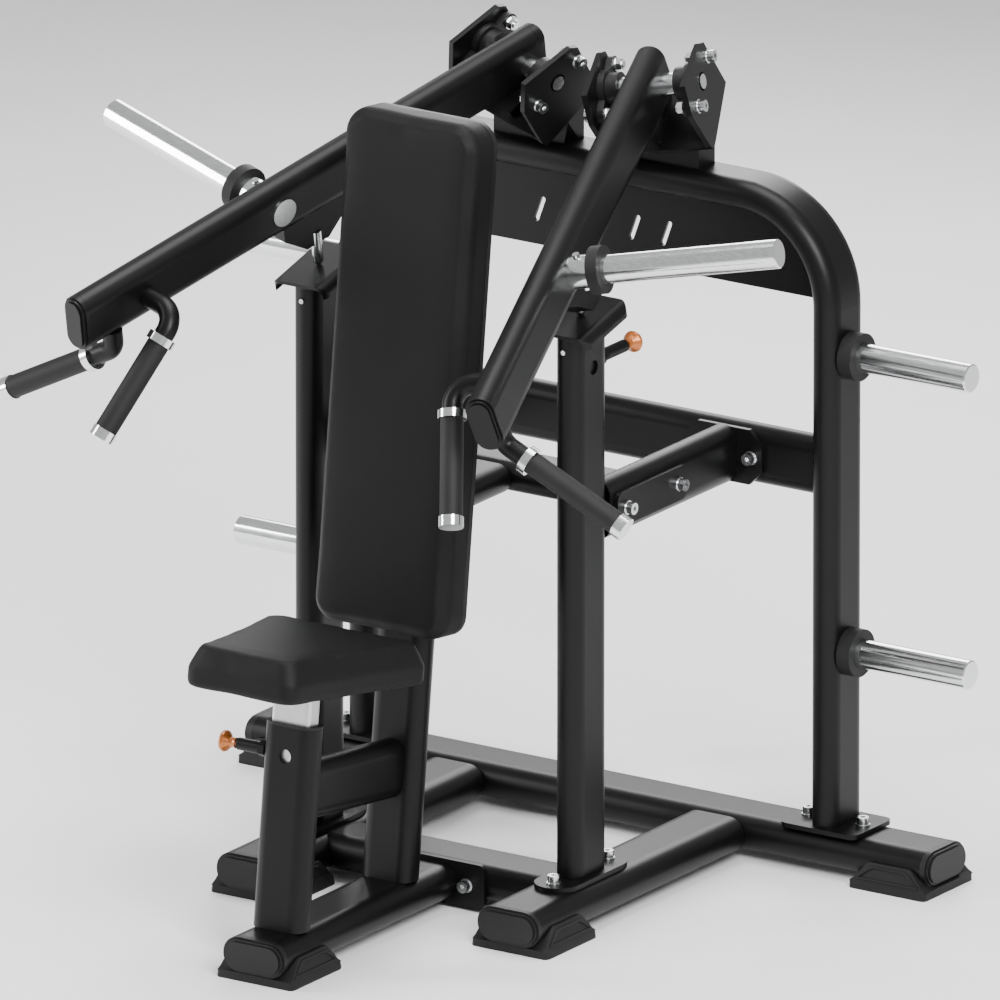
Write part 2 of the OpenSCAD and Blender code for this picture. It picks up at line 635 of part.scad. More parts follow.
module arm_run(w, h, extra) translate([0, arm_tail + extra, arm_offset]) rotate([90, 0, 0])
    bar(w, h, arm_length + arm_tail + 2 * extra);
module press_arm(m) color(BLACK) at_arm(m) {
    difference() {
        arm_run(tube_t, tube_w, 0);
        arm_run(tube_t - 2 * wall, tube_w - 2 * wall, 1);
        translate([0, -arm_horn_at, arm_offset + horn_lift]) rotate([0, 90, 0])
            cylinder(d = horn_root_d + horn_fit, h = 2 * tube_t, center = true);
        rotate([0, 90, 0]) cylinder(d = boss_ring_d + horn_fit, h = 2 * tube_t, center = true);
    }
    translate([0, -arm_length - gap, arm_offset]) rotate([90, 0, 0]) end_cap(tube_t, tube_w);
    translate([0, arm_tail + gap, arm_offset]) rotate([-90, 0, 0])
        end_cap(tube_t, tube_w, arm_tail - boss_ring_d / 2 - 1);
}
module pivot_shaft(m) color(CHROME) at_arm(m) {
    reach = bracket_half + bracket_t + 2;
    translate([-reach, 0, 0]) rotate([0, 90, 0]) cylinder(d = shaft_d, h = 2 * reach);
    ring_end = bracket_half - bearing_t - boss_t - 1;
    translate([-ring_end, 0, 0]) rotate([0, 90, 0]) cylinder(d = boss_ring_d, h = 2 * ring_end);
}
module at_horn(m) at_arm(m) translate([-tube_t / 2, -arm_horn_at, arm_offset + horn_lift])
    rotate([0, 90, 0]) children();
module horn_sleeve(m) color(CHROME) at_horn(m) {
    translate([0, 0, tube_t + gap]) ring(horn_d + 8, horn_root_d + horn_fit,
        collar_at - tube_t - collar_t / 2 - 2 * gap);
    for (s = [-1, 1]) translate([s * (horn_d / 2 + 4.2), 0, tube_t + 16]) rotate([0, s * 90, 0])
        cylinder(d = 12, h = 6);
}
module weight_horn(m) color(CHROME) at_horn(m) {
    translate([0, 0, -horn_disc_t]) cylinder(d = horn_d, h = horn_disc_t);
    horn(collar_at + collar_t / 2 + gap, arm_horn_length);
}
module horn_collar(m) color(GREY) at_horn(m) translate([0, 0, collar_at - collar_t / 2])
    ring(collar_d, horn_root_d + horn_fit, collar_t);

// Round bar that goes up +Z to a corner and bends towards +X by angle, then runs on,
// in three lengths that are butt-welded end to end
module bent_bar(d, stub, bend_r, angle, reach) {
    t = bend_r * tan(angle / 2);
    cylinder(d = d, h = stub - t - weld);
    translate([bend_r, 0, stub - t]) rotate([90, 0, 0]) rotate([0, 0, 180 - angle])
        rotate_extrude(angle = angle) translate([bend_r, 0]) circle(d = d);
    translate([0, 0, stub]) rotate([0, angle, 0]) translate([0, 0, t + weld])
        cylinder(d = d, h = reach - t - weld);
}
module inner_base() translate(inner_at) rotate([drop_inner, 0, 0]) rotate([0, -90, 0]) children();
module outer_base() translate(outer_at) rotate([0, 0, turn_outer]) rotate([180, 0, 0]) children();
module on_inner() inner_base() translate([0, 0, stub_inner]) rotate([0, splay_inner, 0]) children();
module on_outer() outer_base() translate([0, 0, stub_outer]) rotate([0, splay_outer, 0]) children();
module handle_tubes(m) color(BLACK) at_arm(m) {
    inner_base() bent_bar(handle_d, stub_inner, bend_inner, splay_inner, grip_from + inner_grip + trim_t);
    outer_base() translate([0, 0, -8]) bent_bar(handle_d, stub_outer + 8, bend_outer, splay_outer,
        grip_from + outer_grip + trim_t);
}
module trims(grip_length) {
    translate([0, 0, grip_from - trim_t / 2]) ring(grip_d + 10, handle_d + 0.2, trim_t);
    translate([0, 0, grip_from + grip_length + trim_t / 2 + gap])
        difference() {
            cylinder(d = grip_d + 3, h = trim_t + 3);
            translate([0, 0, -1]) cylinder(d = handle_d + 0.2, h = trim_t / 2 + 1.5);
        }
}
module handle_trims(m) color(CHROME) at_arm(m) {
    on_inner() trims(inner_grip);
    on_outer() trims(outer_grip);
}
module handle_grips(m) color(GREY) at_arm(m) {
    on_inner() translate([0, 0, grip_from + trim_t / 2 + gap]) ring(grip_d, handle_d + 0.2, inner_grip - gap);
    on_outer() translate([0, 0, grip_from + trim_t / 2 + gap]) ring(grip_d, handle_d + 0.2, outer_grip - gap);
}
module stop_bracket(m) color(BLACK) at_arm(m) {
    tip = tip_centre(m);
    bottom = arm_offset - tube_w / 2;
    difference() {
        translate([-20, tip[1], bottom]) rotate([0, 90, 0]) linear_extrude(40)
            polygon([[-12, -70], [-12, 70], [16, 70], [stop_bracket_h, 24], [stop_bracket_h, -24],
                [16, -70]]);
        arm_run(tube_t + 2 * gap, tube_w + 2 * gap, 0);
        translate([tip[0], tip[1], bottom - stop_bracket_h - 1]) cylinder(d = stop_pin_d + 0.2, h = 26);
    }
}
module stop_pin(m) color(CHROME) at_arm(m) {
    tip = tip_centre(m);
    top = arm_offset - tube_w / 2 - stop_bracket_h + 24;
    translate([tip[0], tip[1], tip[2]]) {
        cylinder(d = stop_pin_d, h = top - tip[2]);
        sphere(d = stop_pin_d);
    }
}
module press_arm_right() press_arm(0);
module pivot_shaft_right() pivot_shaft(0);
module horn_sleeve_right() horn_sleeve(0);
module weight_horn_right() weight_horn(0);
module horn_collar_right() horn_collar(0);
module handle_tubes_right() handle_tubes(0);
module handle_grips_right() handle_grips(0);
module handle_trims_right() handle_trims(0);
module stop_bracket_right() stop_bracket(0);
module stop_pin_right() stop_pin(0);
module press_arm_left() press_arm(1);
module pivot_shaft_left() pivot_shaft(1);
module horn_sleeve_left() horn_sleeve(1);
module weight_horn_left() weight_horn(1);
module horn_collar_left() horn_collar(1);
module handle_tubes_left() handle_tubes(1);
module handle_grips_left() handle_grips(1);
module handle_trims_left() handle_trims(1);
module stop_bracket_left() stop_bracket(1);
module stop_pin_left() stop_pin(1);

// ---- seat and backrest ----
module seat_frame() placed() leaned(seat_post_forward) children();
module seat_slide_tube() color(CHROME) seat_frame() translate([0, 0, slide_low])
    linear_extrude(cushion_bottom - slide_low - plate_t - gap) difference() {
        round_rect(inner_tube_w, inner_tube_t, 7);
        round_rect(inner_tube_w - 6, inner_tube_t - 6, 4);
    }
module seat_base_plate() color(BLACK) seat_frame() translate([0, 10, cushion_bottom - plate_t])
    linear_extrude(plate_t - pad_gap) round_rect(130, 220, 16);
module seat_shape(grow) {
    f = seat_front_w / 2 - 30 + grow;
    r = seat_rear_w / 2 - 30 + grow;
    offset(r = 30) polygon([[-f, -0.54 * seat_length + 30 - grow], [f, -0.54 * seat_length + 30 - grow],
        [r, 0.46 * seat_length - 30 + grow], [-r, 0.46 * seat_length - 30 + grow]]);
}
module seat_cushion() color(GREY) seat_frame() translate([0, 0, cushion_bottom]) hull() {
    linear_extrude(seat_band) seat_shape(0);
    linear_extrude(seat_t) seat_shape(-seat_bevel);
}
module back_frame() placed() leaned(upright_forward) translate([0, -tube_t / 2 - gap, 0]) rotate([90, 0, 0])
    children();
module back_outline(inset) translate([0, back_low + back_h / 2]) offset(r = 35 - inset)
    square([back_w - 70, back_h - 70], center = true);
module backrest_board() color(BLACK) back_frame() linear_extrude(board_t) back_outline(2);
module backrest_pad() color(GREY) back_frame() translate([0, 0, board_t + pad_gap]) hull() {
    linear_extrude(back_t - 20) back_outline(0);
    linear_extrude(back_t - pad_gap) back_outline(12);
}

rear_base_tube();
rear_arch();
arch_web_plate();
mid_crossbar();
side_rails();
rail_plates();
back_tee_frame();
base_side_rails();
base_cross_tube();
centre_base_tube();
base_joint_bracket();
seat_post();
seat_link_tube();
back_upright();
stop_posts();
post_foot_plates();
end_caps();
rubber_feet();
frame_bolts();
bearing_bolts();
storage_horns();
storage_collars();
pivot_brackets();
bearing_housings();
tube_bushes();
backrest_pad();
backrest_board();
pull_pin_barrels();
catch_right();
catch_left();
press_arm_right();
pivot_shaft_right();
horn_sleeve_right();
weight_horn_right();
horn_collar_right();
handle_tubes_right();
handle_grips_right();
handle_trims_right();
stop_bracket_right();
stop_pin_right();
press_arm_left();
pivot_shaft_left();
horn_sleeve_left();
weight_horn_left();
horn_collar_left();
handle_tubes_left();
handle_grips_left();
handle_trims_left();
stop_bracket_left();
stop_pin_left();
seat_slide_tube();
seat_base_plate();
seat_cushion();
seat_pin();
seat_pin_knob();
catch_pin_right();
catch_pin_knob_right();
catch_pin_left();
catch_pin_knob_left();
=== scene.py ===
"""Chest press machine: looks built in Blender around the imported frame. Metres throughout."""
import json
import math

import bmesh
import bpy
import numpy as np
from mathutils import Matrix, Vector


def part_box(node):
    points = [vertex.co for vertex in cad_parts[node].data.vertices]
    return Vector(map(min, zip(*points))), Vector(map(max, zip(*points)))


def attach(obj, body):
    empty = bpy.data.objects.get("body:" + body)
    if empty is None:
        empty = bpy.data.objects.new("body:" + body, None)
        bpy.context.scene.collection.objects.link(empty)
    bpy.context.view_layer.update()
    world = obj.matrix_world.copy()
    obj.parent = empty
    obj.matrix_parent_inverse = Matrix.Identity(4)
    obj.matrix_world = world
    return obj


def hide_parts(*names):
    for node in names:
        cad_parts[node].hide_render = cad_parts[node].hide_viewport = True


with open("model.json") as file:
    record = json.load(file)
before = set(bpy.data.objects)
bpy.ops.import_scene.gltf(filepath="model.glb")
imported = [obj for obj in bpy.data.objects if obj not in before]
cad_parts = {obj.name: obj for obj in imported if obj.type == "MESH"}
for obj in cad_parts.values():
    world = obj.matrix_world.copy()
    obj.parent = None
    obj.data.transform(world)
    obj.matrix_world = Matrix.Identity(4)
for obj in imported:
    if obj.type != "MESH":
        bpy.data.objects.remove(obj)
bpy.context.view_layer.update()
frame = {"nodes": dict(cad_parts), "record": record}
SCENE = bpy.context.scene
NODES = frame["nodes"]
ARCH_Y = sum(corner.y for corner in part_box("rear_arch")) / 2

# Camera: a view from the front right through a lens so long that it is all but parallel
VIEW_AZIMUTH = math.radians(33.5)
VIEW_ELEVATION = math.radians(17.5)
VIEW_WIDTH = 1.645
# The view's centre, across and up the picture from the foot of the rear arch
VIEW_SHIFT_ACROSS = -0.1704
VIEW_SHIFT_UP = 0.5275
LENS_MM = 1500
SENSOR_MM = 36
CAMERA_DISTANCE = VIEW_WIDTH * LENS_MM / SENSOR_MM


# ---------------------------------------------------------------- materials
def node_material(name, colour, roughness, metallic=0.0, coat=0.0, specular=0.5):
    """A principled material with its plain values set on the shader's own sockets."""
    mat = bpy.data.materials.new(name)
    mat.use_nodes = True
    shader = mat.node_tree.nodes["Principled BSDF"]
    shader.inputs["Base Color"].default_value = (*colour, 1)
    shader.inputs["Roughness"].default_value = roughness
    shader.inputs["Metallic"].default_value = metallic
    shader.inputs["Coat Weight"].default_value = coat
    shader.inputs["Coat Roughness"].default_value = 0.25
    shader.inputs["Specular IOR Level"].default_value = specular
    return mat, mat.node_tree, shader


def object_coords(tree, stretch=(1, 1, 1)):
    """Object coordinates, stretched along each axis."""
    coords = tree.nodes.new("ShaderNodeTexCoord")
    mapping = tree.nodes.new("ShaderNodeMapping")
    mapping.inputs["Scale"].default_value = stretch
    tree.links.new(coords.outputs["Object"], mapping.inputs["Vector"])
    return mapping.outputs["Vector"]


def noise_node(tree, vector, scale, detail=3.0, rough=0.5):
    """A noise texture's value at a vector."""
    texture = tree.nodes.new("ShaderNodeTexNoise")
    texture.inputs["Scale"].default_value = scale
    texture.inputs["Detail"].default_value = detail
    texture.inputs["Roughness"].default_value = rough
    tree.links.new(vector, texture.inputs["Vector"])
    return texture.outputs["Fac"]


def ramp(tree, value, low, high, start=0.3, end=0.7):
    """Maps a 0 to 1 value onto two colours."""
    node = tree.nodes.new("ShaderNodeValToRGB")
    node.color_ramp.elements[0].position = start
    node.color_ramp.elements[1].position = end
    node.color_ramp.elements[0].color = (*low, 1)
    node.color_ramp.elements[1].color = (*high, 1)
    tree.links.new(value, node.inputs["Fac"])
    return node.outputs["Color"]


def spread(tree, value, low, high):
    """Maps a 0 to 1 value onto a range."""
    node = tree.nodes.new("ShaderNodeMapRange")
    node.inputs["To Min"].default_value = low
    node.inputs["To Max"].default_value = high
    tree.links.new(value, node.inputs["Value"])
    return node.outputs["Result"]


def bump(tree, shader, height, strength, distance, normal=None):
    """Raises a surface by a height value, over an earlier bump if there is one."""
    node = tree.nodes.new("ShaderNodeBump")
    node.inputs["Strength"].default_value = strength
    node.inputs["Distance"].default_value = distance
    tree.links.new(height, node.inputs["Height"])
    if normal is not None:
        tree.links.new(normal, node.inputs["Normal"])
    tree.links.new(node.outputs["Normal"], shader.inputs["Normal"])
    return node.outputs["Normal"]


def grained(name, dark, light, rough_low, rough_high, grain, strength, distance, **extra):
    """A surface with mottled colour and roughness, and a fine raised grain."""
    mat, tree, shader = node_material(name, dark, rough_low, **extra)
    vector = object_coords(tree)
    broad = noise_node(tree, vector, 9.0, 4.0)
    fine = noise_node(tree, vector, grain, 4.0, 0.6)
    tree.links.new(ramp(tree, broad, dark, light), shader.inputs["Base Color"])
    tree.links.new(spread(tree, fine, rough_low, rough_high), shader.inputs["Roughness"])
    bump(tree, shader, fine, strength, distance)
    return mat


def leather(name, dark, light):
    """Synthetic leather: fine cells pressed into the surface, with pores and broad mottling over them."""
    mat, tree, shader = node_material(name, dark, 0.55, specular=0.16)
    vector = object_coords(tree)
    cells = tree.nodes.new("ShaderNodeTexVoronoi")
    cells.feature = "DISTANCE_TO_EDGE"
    cells.inputs["Scale"].default_value = 620.0
    tree.links.new(vector, cells.inputs["Vector"])
    pores = noise_node(tree, vector, 900.0, 3.0, 0.6)
    broad = noise_node(tree, vector, 7.0, 3.0)
    mottled = ramp(tree, broad, dark, light, 0.2, 0.8)
    mix = tree.nodes.new("ShaderNodeMix")
    mix.data_type = "RGBA"
    mix.blend_type = "MULTIPLY"
    mix.inputs[0].default_value = 0.35
    tree.links.new(mottled, mix.inputs[6])
    tree.links.new(ramp(tree, pores, (0.55,) * 3, (1.3,) * 3, 0.35, 0.65), mix.inputs[7])
    tree.links.new(mix.outputs[2], shader.inputs["Base Color"])
    tree.links.new(spread(tree, pores, 0.46, 0.66), shader.inputs["Roughness"])
    first = bump(tree, shader, cells.outputs["Distance"], 0.35, 0.0006)
    bump(tree, shader, pores, 0.25, 0.0003, first)
    return mat


def metal(name, colour, rough_low, rough_high, stretch, grain=60.0, strength=0.04):
    """Plated or brushed metal, with faint lines along one direction."""
    mat, tree, shader = node_material(name, colour, rough_low, metallic=1.0)
    streaks = noise_node(tree, object_coords(tree, stretch), grain, 3.0, 0.55)
    tint = tuple(min(1.0, c * 1.12) for c in colour)
    tree.links.new(ramp(tree, streaks, tuple(c * 0.9 for c in colour), tint), shader.inputs["Base Color"])
    tree.links.new(spread(tree, streaks, rough_low, rough_high), shader.inputs["Roughness"])
    bump(tree, shader, streaks, strength, 0.0004)
    return mat


MATERIALS = {
    "satin_black": grained("powder_coat", (0.0022, 0.0022, 0.0023), (0.0032, 0.0032, 0.0033), 0.3, 0.46,
                           780.0, 0.3, 0.0003, specular=0.2),
    "rubber_black": grained("rubber", (0.005, 0.005, 0.005), (0.009, 0.009, 0.009), 0.5, 0.7,
                            950.0, 0.35, 0.0004, specular=0.28),
    "plastic_black": grained("moulded_plastic", (0.004, 0.004, 0.004), (0.007, 0.007, 0.007), 0.4, 0.58,
                             1100.0, 0.3, 0.0003, specular=0.3),
    "bearing_iron": grained("painted_casting", (0.003, 0.003, 0.003), (0.006, 0.006, 0.006), 0.36, 0.56,
                            420.0, 0.45, 0.0008, specular=0.35),
    "upholstery": leather("upholstery", (0.0036, 0.0036, 0.0038), (0.0055, 0.0055, 0.0057)),
    "chrome": metal("chrome", (0.78, 0.79, 0.8), 0.1, 0.2, (0.6, 9.0, 9.0)),
    "bright_zinc": metal("bright_zinc", (0.7, 0.71, 0.72), 0.14, 0.28, (3.0, 3.0, 3.0), 90.0, 0.06),
    "brushed_steel": metal("brushed_steel", (0.62, 0.62, 0.62), 0.28, 0.42, (12.0, 12.0, 0.6), 70.0, 0.12),
    "copper_knob": grained("copper_knob", (0.42, 0.115, 0.018), (0.5, 0.15, 0.027), 0.24, 0.36, 600.0, 0.1,
                           0.0002, metallic=0.45, coat=0.3),
}
SLOT_OF = {s["node"]: s["material_slot"] for s in frame["record"]["subparts"]}


def smooth_shading(mesh, angle=math.radians(32)):
    """Smooth shading, with the edges sharper than the angle kept crisp."""
    work = bmesh.new()
    work.from_mesh(mesh)
    for face in work.faces:
        face.smooth = True
    for edge in work.edges:
        edge.smooth = len(edge.link_faces) == 2 and edge.calc_face_angle(0.0) < angle
    work.to_mesh(mesh)
    work.free()


for name, obj in NODES.items():
    obj.data.materials.clear()
    obj.data.materials.append(MATERIALS[SLOT_OF[name]])


# ---------------------------------------------------------------- helpers
def new_object(name, mesh, slot, node):
    """A piece that stands for a CAD node, with the material of a slot."""
    obj = bpy.data.objects.new(name, mesh)
    SCENE.collection.objects.link(obj)
    mesh.materials.append(MATERIALS[slot])
    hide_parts(node)
    return obj


def mesh_from(vertices, faces, name):
    """A mesh with its normals turned outwards."""
    mesh = bpy.data.meshes.new(name)
    mesh.from_pydata([tuple(v) for v in vertices], [], faces)
    mesh.update()
    work = bmesh.new()
    work.from_mesh(mesh)
    bmesh.ops.recalc_face_normals(work, faces=work.faces)
    work.to_mesh(mesh)
    work.free()
    return mesh


def apply_modifiers(obj):
    """Replaces an object's mesh by what its modifiers make of it."""
    graph = bpy.context.evaluated_depsgraph_get()
    mesh = bpy.data.meshes.new_from_object(obj.evaluated_get(graph))
    obj.modifiers.clear()
    obj.data = mesh


def loft(rings):
    """Vertices and faces of a closed skin over rings of equally many points, with flat ends."""
    count = len(rings[0])
    points = [point for ring in rings for point in ring]
    faces = []
    for i in range(len(rings) - 1):
        low, high = i * count, (i + 1) * count
        for k in range(count):
            j = (k + 1) % count
            faces.append((low + k, low + j, high + j, high + k))
    faces += [tuple(range(count)), tuple(range(len(points) - count, len(points)))]
    return points, faces


def join_meshes(name, parts):
    """One mesh from several (vertices, faces) pairs."""
    points, faces = [], []
    for part_points, part_faces in parts:
        base = len(points)
        points += part_points
        faces += [tuple(base + i for i in f) for f in part_faces]
    return mesh_from(points, faces, name)


def pieces_of(node):
    """The separate solids of a CAD node, each as a list of its vertex positions."""
    work = bmesh.new()
    work.from_mesh(NODES[node].data)
    bmesh.ops.remove_doubles(work, verts=work.verts, dist=1e-6)
    left, found = set(work.verts), []
    while left:
        stack, island = [left.pop()], []
        while stack:
            vertex = stack.pop()
            island.append(vertex.co.copy())
            for edge in vertex.link_edges:
                other = edge.other_vert(vertex)
                if other in left:
                    left.remove(other)
                    stack.append(other)
        found.append(island)
    work.free()
    return found


# ---------------------------------------------------------------- cushions
# Lean of the seat and the backrest
LEAN = math.radians(6.8)
# Width of the seat's front as a share of its rear
SEAT_TAPER = 0.69
# Rise of the backrest's top edge at its middle
BACK_CROWN = 0.014
# How far the backrest's board shows behind its cover
BOARD_SHOWS = 0.002
# How far the board lies inside the cover, its edge rounding, and how far it reaches in
BOARD_INSET = 0.006
BOARD_ROUND = 0.001
BOARD_IN = 0.010
# Corner radii of the backrest, at its side and at least, and of the seat
BACK_CORNER_R = 0.042
BACK_LEAST_R = 0.012
SEAT_CORNER_R = 0.026
# How far the covers stand outside the plain pads
BACK_PROUD = 0.003
SEAT_PROUD = 0.002
# How far a pad starts inside its finished size, and how far its cover may move as it swells
PAD_SPARE = 0.0015
PAD_SWELL = 0.005
# Rounds of averaging that even out a pad's swell
SWELL_SMOOTHING = 24
PAD_VOXEL = 0.005
PAD_CREASE = math.radians(70)
CLOTH_PRESSURE = 4
CLOTH_QUALITY = 5
CLOTH_STIFFNESS = 25
CLOTH_FRAMES = 20


def outline(half_top, half_bottom, low, high, radius, corner_steps=7):
    """A rounded trapezoid outline as (across, along) points, from low to high."""
    corners = [(half_bottom, low, -90), (half_top, high, 0), (-half_top, high, 90), (-half_bottom, low, 180)]
    points = []
    for x, y, start in corners:
        cx = x - math.copysign(radius, x)
        cy = y + (radius if y == low else -radius)
        for k in range(corner_steps + 1):
            a = math.radians(start + 90 * k / corner_steps)
            points.append((cx + radius * math.cos(a), cy + radius * math.sin(a)))
    return points


def cushion(name, node, body, shape, depths, place):
    """A crowned pad. shape(inset) is its outline, and depths are (inset, depth) from its back to its front;
    place maps (across, along, depth) to the model's frame."""
    points, faces = loft([[place(x, y, depth) for x, y in shape(inset)] for inset, depth in depths])
    obj = new_object(name, mesh_from(points, faces, name), "upholstery", node)
    remesh = obj.modifiers.new("remesh", "REMESH")
    remesh.mode = "VOXEL"
    remesh.voxel_size = PAD_VOXEL
    apply_modifiers(obj)
    inflate(obj)
    sub = obj.modifiers.new("sub", "SUBSURF")
    sub.levels = sub.render_levels = 1
    apply_modifiers(obj)
    smooth_shading(obj.data, PAD_CREASE)
    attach(obj, body)


def inflate(obj):
    """Swells a pad with a cloth simulation, caps how far each point moves, and evens the swell out."""
    rest = np.array([v.co for v in obj.data.vertices], float).reshape(-1, 3)
    cloth = obj.modifiers.new("cloth", "CLOTH")
    settings = cloth.settings
    settings.use_pressure = True
    settings.uniform_pressure_force = CLOTH_PRESSURE
    settings.effector_weights.gravity = 0
    settings.quality = CLOTH_QUALITY
    settings.tension_stiffness = settings.compression_stiffness = CLOTH_STIFFNESS
    cloth.point_cache.frame_start, cloth.point_cache.frame_end = 1, CLOTH_FRAMES
    for step in range(1, CLOTH_FRAMES + 1):
        SCENE.frame_set(step)
    apply_modifiers(obj)
    SCENE.frame_set(1)
    mesh = obj.data
    moves = np.array([v.co for v in mesh.vertices], float).reshape(-1, 3) - rest
    length = np.linalg.norm(moves, axis=1, keepdims=True)
    moves *= np.minimum(1.0, PAD_SWELL / np.maximum(length, 1e-9))
    # an even swell: each point takes in the mean movement of the points round it
    ends = np.array([e.vertices for e in mesh.edges], int).reshape(-1, 2)
    count = np.bincount(ends.ravel(), minlength=len(rest)).reshape(-1, 1)
    for _ in range(SWELL_SMOOTHING):
        total = np.zeros_like(moves)
        np.add.at(total, ends[:, 0], moves[ends[:, 1]])
        np.add.at(total, ends[:, 1], moves[ends[:, 0]])
        moves = 0.5 * moves + 0.5 * total / count
    mesh.vertices.foreach_set("co", (rest + moves).ravel())
    mesh.update()


def leaned_frame(node):
    """How a leaned CAD solid lies: the directions up its lean and out of its front, its extents along them,
    and half its width."""
    low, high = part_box(node)
    up = Vector((0, math.sin(LEAN), math.cos(LEAN)))
    out = Vector((0, -math.cos(LEAN), math.sin(LEAN)))
    points = [v.co for v in NODES[node].data.vertices]
    along = [p.dot(up) for p in points]
    depth = [p.dot(out) for p in points]
    return up, out, (min(along), max(along)), (min(depth), max(depth)), (high.x - low.x) / 2


def make_backrest():
    """The backrest's cushion, whose cover wraps its board, with a risen top edge."""
    up, out, (low, high), (_, front), half = leaned_frame("backrest_pad")
    behind = leaned_frame("backrest_board")[3][0] + BOARD_SHOWS
    half += BACK_PROUD
    middle = (low + high) / 2

    def place(x, y, d):
        return Vector((x, 0, 0)) + up * y + out * d

    def shape(inset):
        top = high - inset - BACK_CROWN
        radius = max(BACK_LEAST_R, BACK_CORNER_R - inset)
        points = outline(half - inset, half - inset, low + inset, top, radius)
        return [(x, y + (BACK_CROWN * (1 - (x / half) ** 2) if y > middle else 0)) for x, y in points]

    # a rounded back edge, a straight side and a bevel
    depths = [(PAD_SPARE + 0.002, behind), (PAD_SPARE, behind + 0.004), (PAD_SPARE, front - 0.022),
              (PAD_SPARE + 0.004, front - 0.014), (PAD_SPARE + 0.017, front - 0.003)]
    cushion("backrest_cushion", "backrest_pad", "frame", shape, depths, place)
    make_board(shape, place, behind)


def make_board(shape, place, behind):
    """The backrest's board, a little smaller than its cover and just behind it."""
    back = behind - BOARD_SHOWS
    edge = [(BOARD_INSET + 2 * BOARD_ROUND, back), (BOARD_INSET, back + BOARD_ROUND),
            (BOARD_INSET, behind + BOARD_IN)]
    points, faces = loft([[place(x, y, depth) for x, y in shape(inset)] for inset, depth in edge])
    board = new_object("backrest_back", mesh_from(points, faces, "backrest_back"), "plastic_black",
                       "backrest_board")
    smooth_shading(board.data)
    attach(board, "frame")


def make_seat():
    """The seat's cushion: a straight band under a steep bevel."""
    up, out, (low, high), (back, front), half = leaned_frame("seat_cushion")
    half_rear = half + SEAT_PROUD
    half_front = half_rear * SEAT_TAPER + SEAT_PROUD

    def place(x, y, d):
        return Vector((x, 0, 0)) + up * d + out * y

    def shape(inset):
        end = front + SEAT_PROUD / 2 - inset
        return outline(half_front - inset, half_rear - inset, back + inset, end, SEAT_CORNER_R)

    depths = [(PAD_SPARE + 0.004, low + 0.001), (PAD_SPARE, low + 0.005), (PAD_SPARE, low + 0.031),
              (PAD_SPARE + 0.013, high - 0.006), (PAD_SPARE + 0.018, high - 0.002)]
    cushion("seat_pad", "seat_cushion", "seat", shape, depths, place)


make_backrest()
make_seat()


# ---------------------------------------------------------------- rubber feet
# Half the width, the edge radius and the centre's height of a base tube, and a foot's gap round it
BASE_TUBE_HALF_W = 0.060
BASE_TUBE_R = 0.030
BASE_TUBE_Z = 0.045
FOOT_GAP = 0.0004
# Half a foot's length and width, and the heights of its skirt and its ears
FOOT_HALF = 0.075
FOOT_SKIRT = 0.012
FOOT_EAR = 0.047
# Half an ear's length, how far its face stands out at its foot and its top, and the face's slant height
FOOT_EAR_HALF = 0.044
EAR_FOOT_V = 0.0720
EAR_TOP_V = 0.0655
EAR_SLANT = 0.036
# The raised border on an ear
RIM_IN = 0.004
RIM_W = 0.0035
RIM_PROUD = 0.0022
RIM_CORNER = 0.004
FOOT_BEVEL = 0.0018


def foot_section(ear, half_v):
    """One side of a foot's cross-section, from the floor's outer edge round to under the tube's middle."""
    share = (ear - FOOT_SKIRT) / (FOOT_EAR - FOOT_SKIRT)
    top_v = EAR_FOOT_V + (EAR_TOP_V - EAR_FOOT_V) * max(0.0, share)
    points = [(half_v, 0.0), (half_v, 0.004), (min(half_v, EAR_FOOT_V), FOOT_SKIRT), (top_v, ear)]
    flat = BASE_TUBE_HALF_W - BASE_TUBE_R
    radius = BASE_TUBE_R + FOOT_GAP
    start = math.asin(max(-1.0, min(0.0, (ear - BASE_TUBE_Z) / radius)))
    if ear > BASE_TUBE_Z:
        points.append((flat + radius, ear))
    for k in range(9):
        a = start + (-math.pi / 2 - start) * k / 8
        points.append((flat + radius * math.cos(a), BASE_TUBE_Z + radius * math.sin(a)))
    if ear <= BASE_TUBE_Z:
        points.append(points[-1])
    return points + [(0.0, BASE_TUBE_Z - radius)]


def foot_mesh():
    """A foot along +X: a flared skirt, a saddle under the tube and an ear up each of its sides."""
    half = [(FOOT_HALF, 0.0122, 0.068), (0.0715, 0.0145, 0.0735), (0.066, 0.018, FOOT_HALF),
            (FOOT_EAR_HALF, 0.0435, FOOT_HALF), (0.039, FOOT_EAR, FOOT_HALF)]
    stations = [(-u, ear, half_v) for u, ear, half_v in half] + half[::-1]
    rings = []
    for u, ear, half_v in stations:
        side = foot_section(ear, half_v)
        ring = side + [(-v, z) for v, z in reversed(side[:-1])]
        rings.append([Vector((u, v, z)) for v, z in ring])
    return loft(rings)


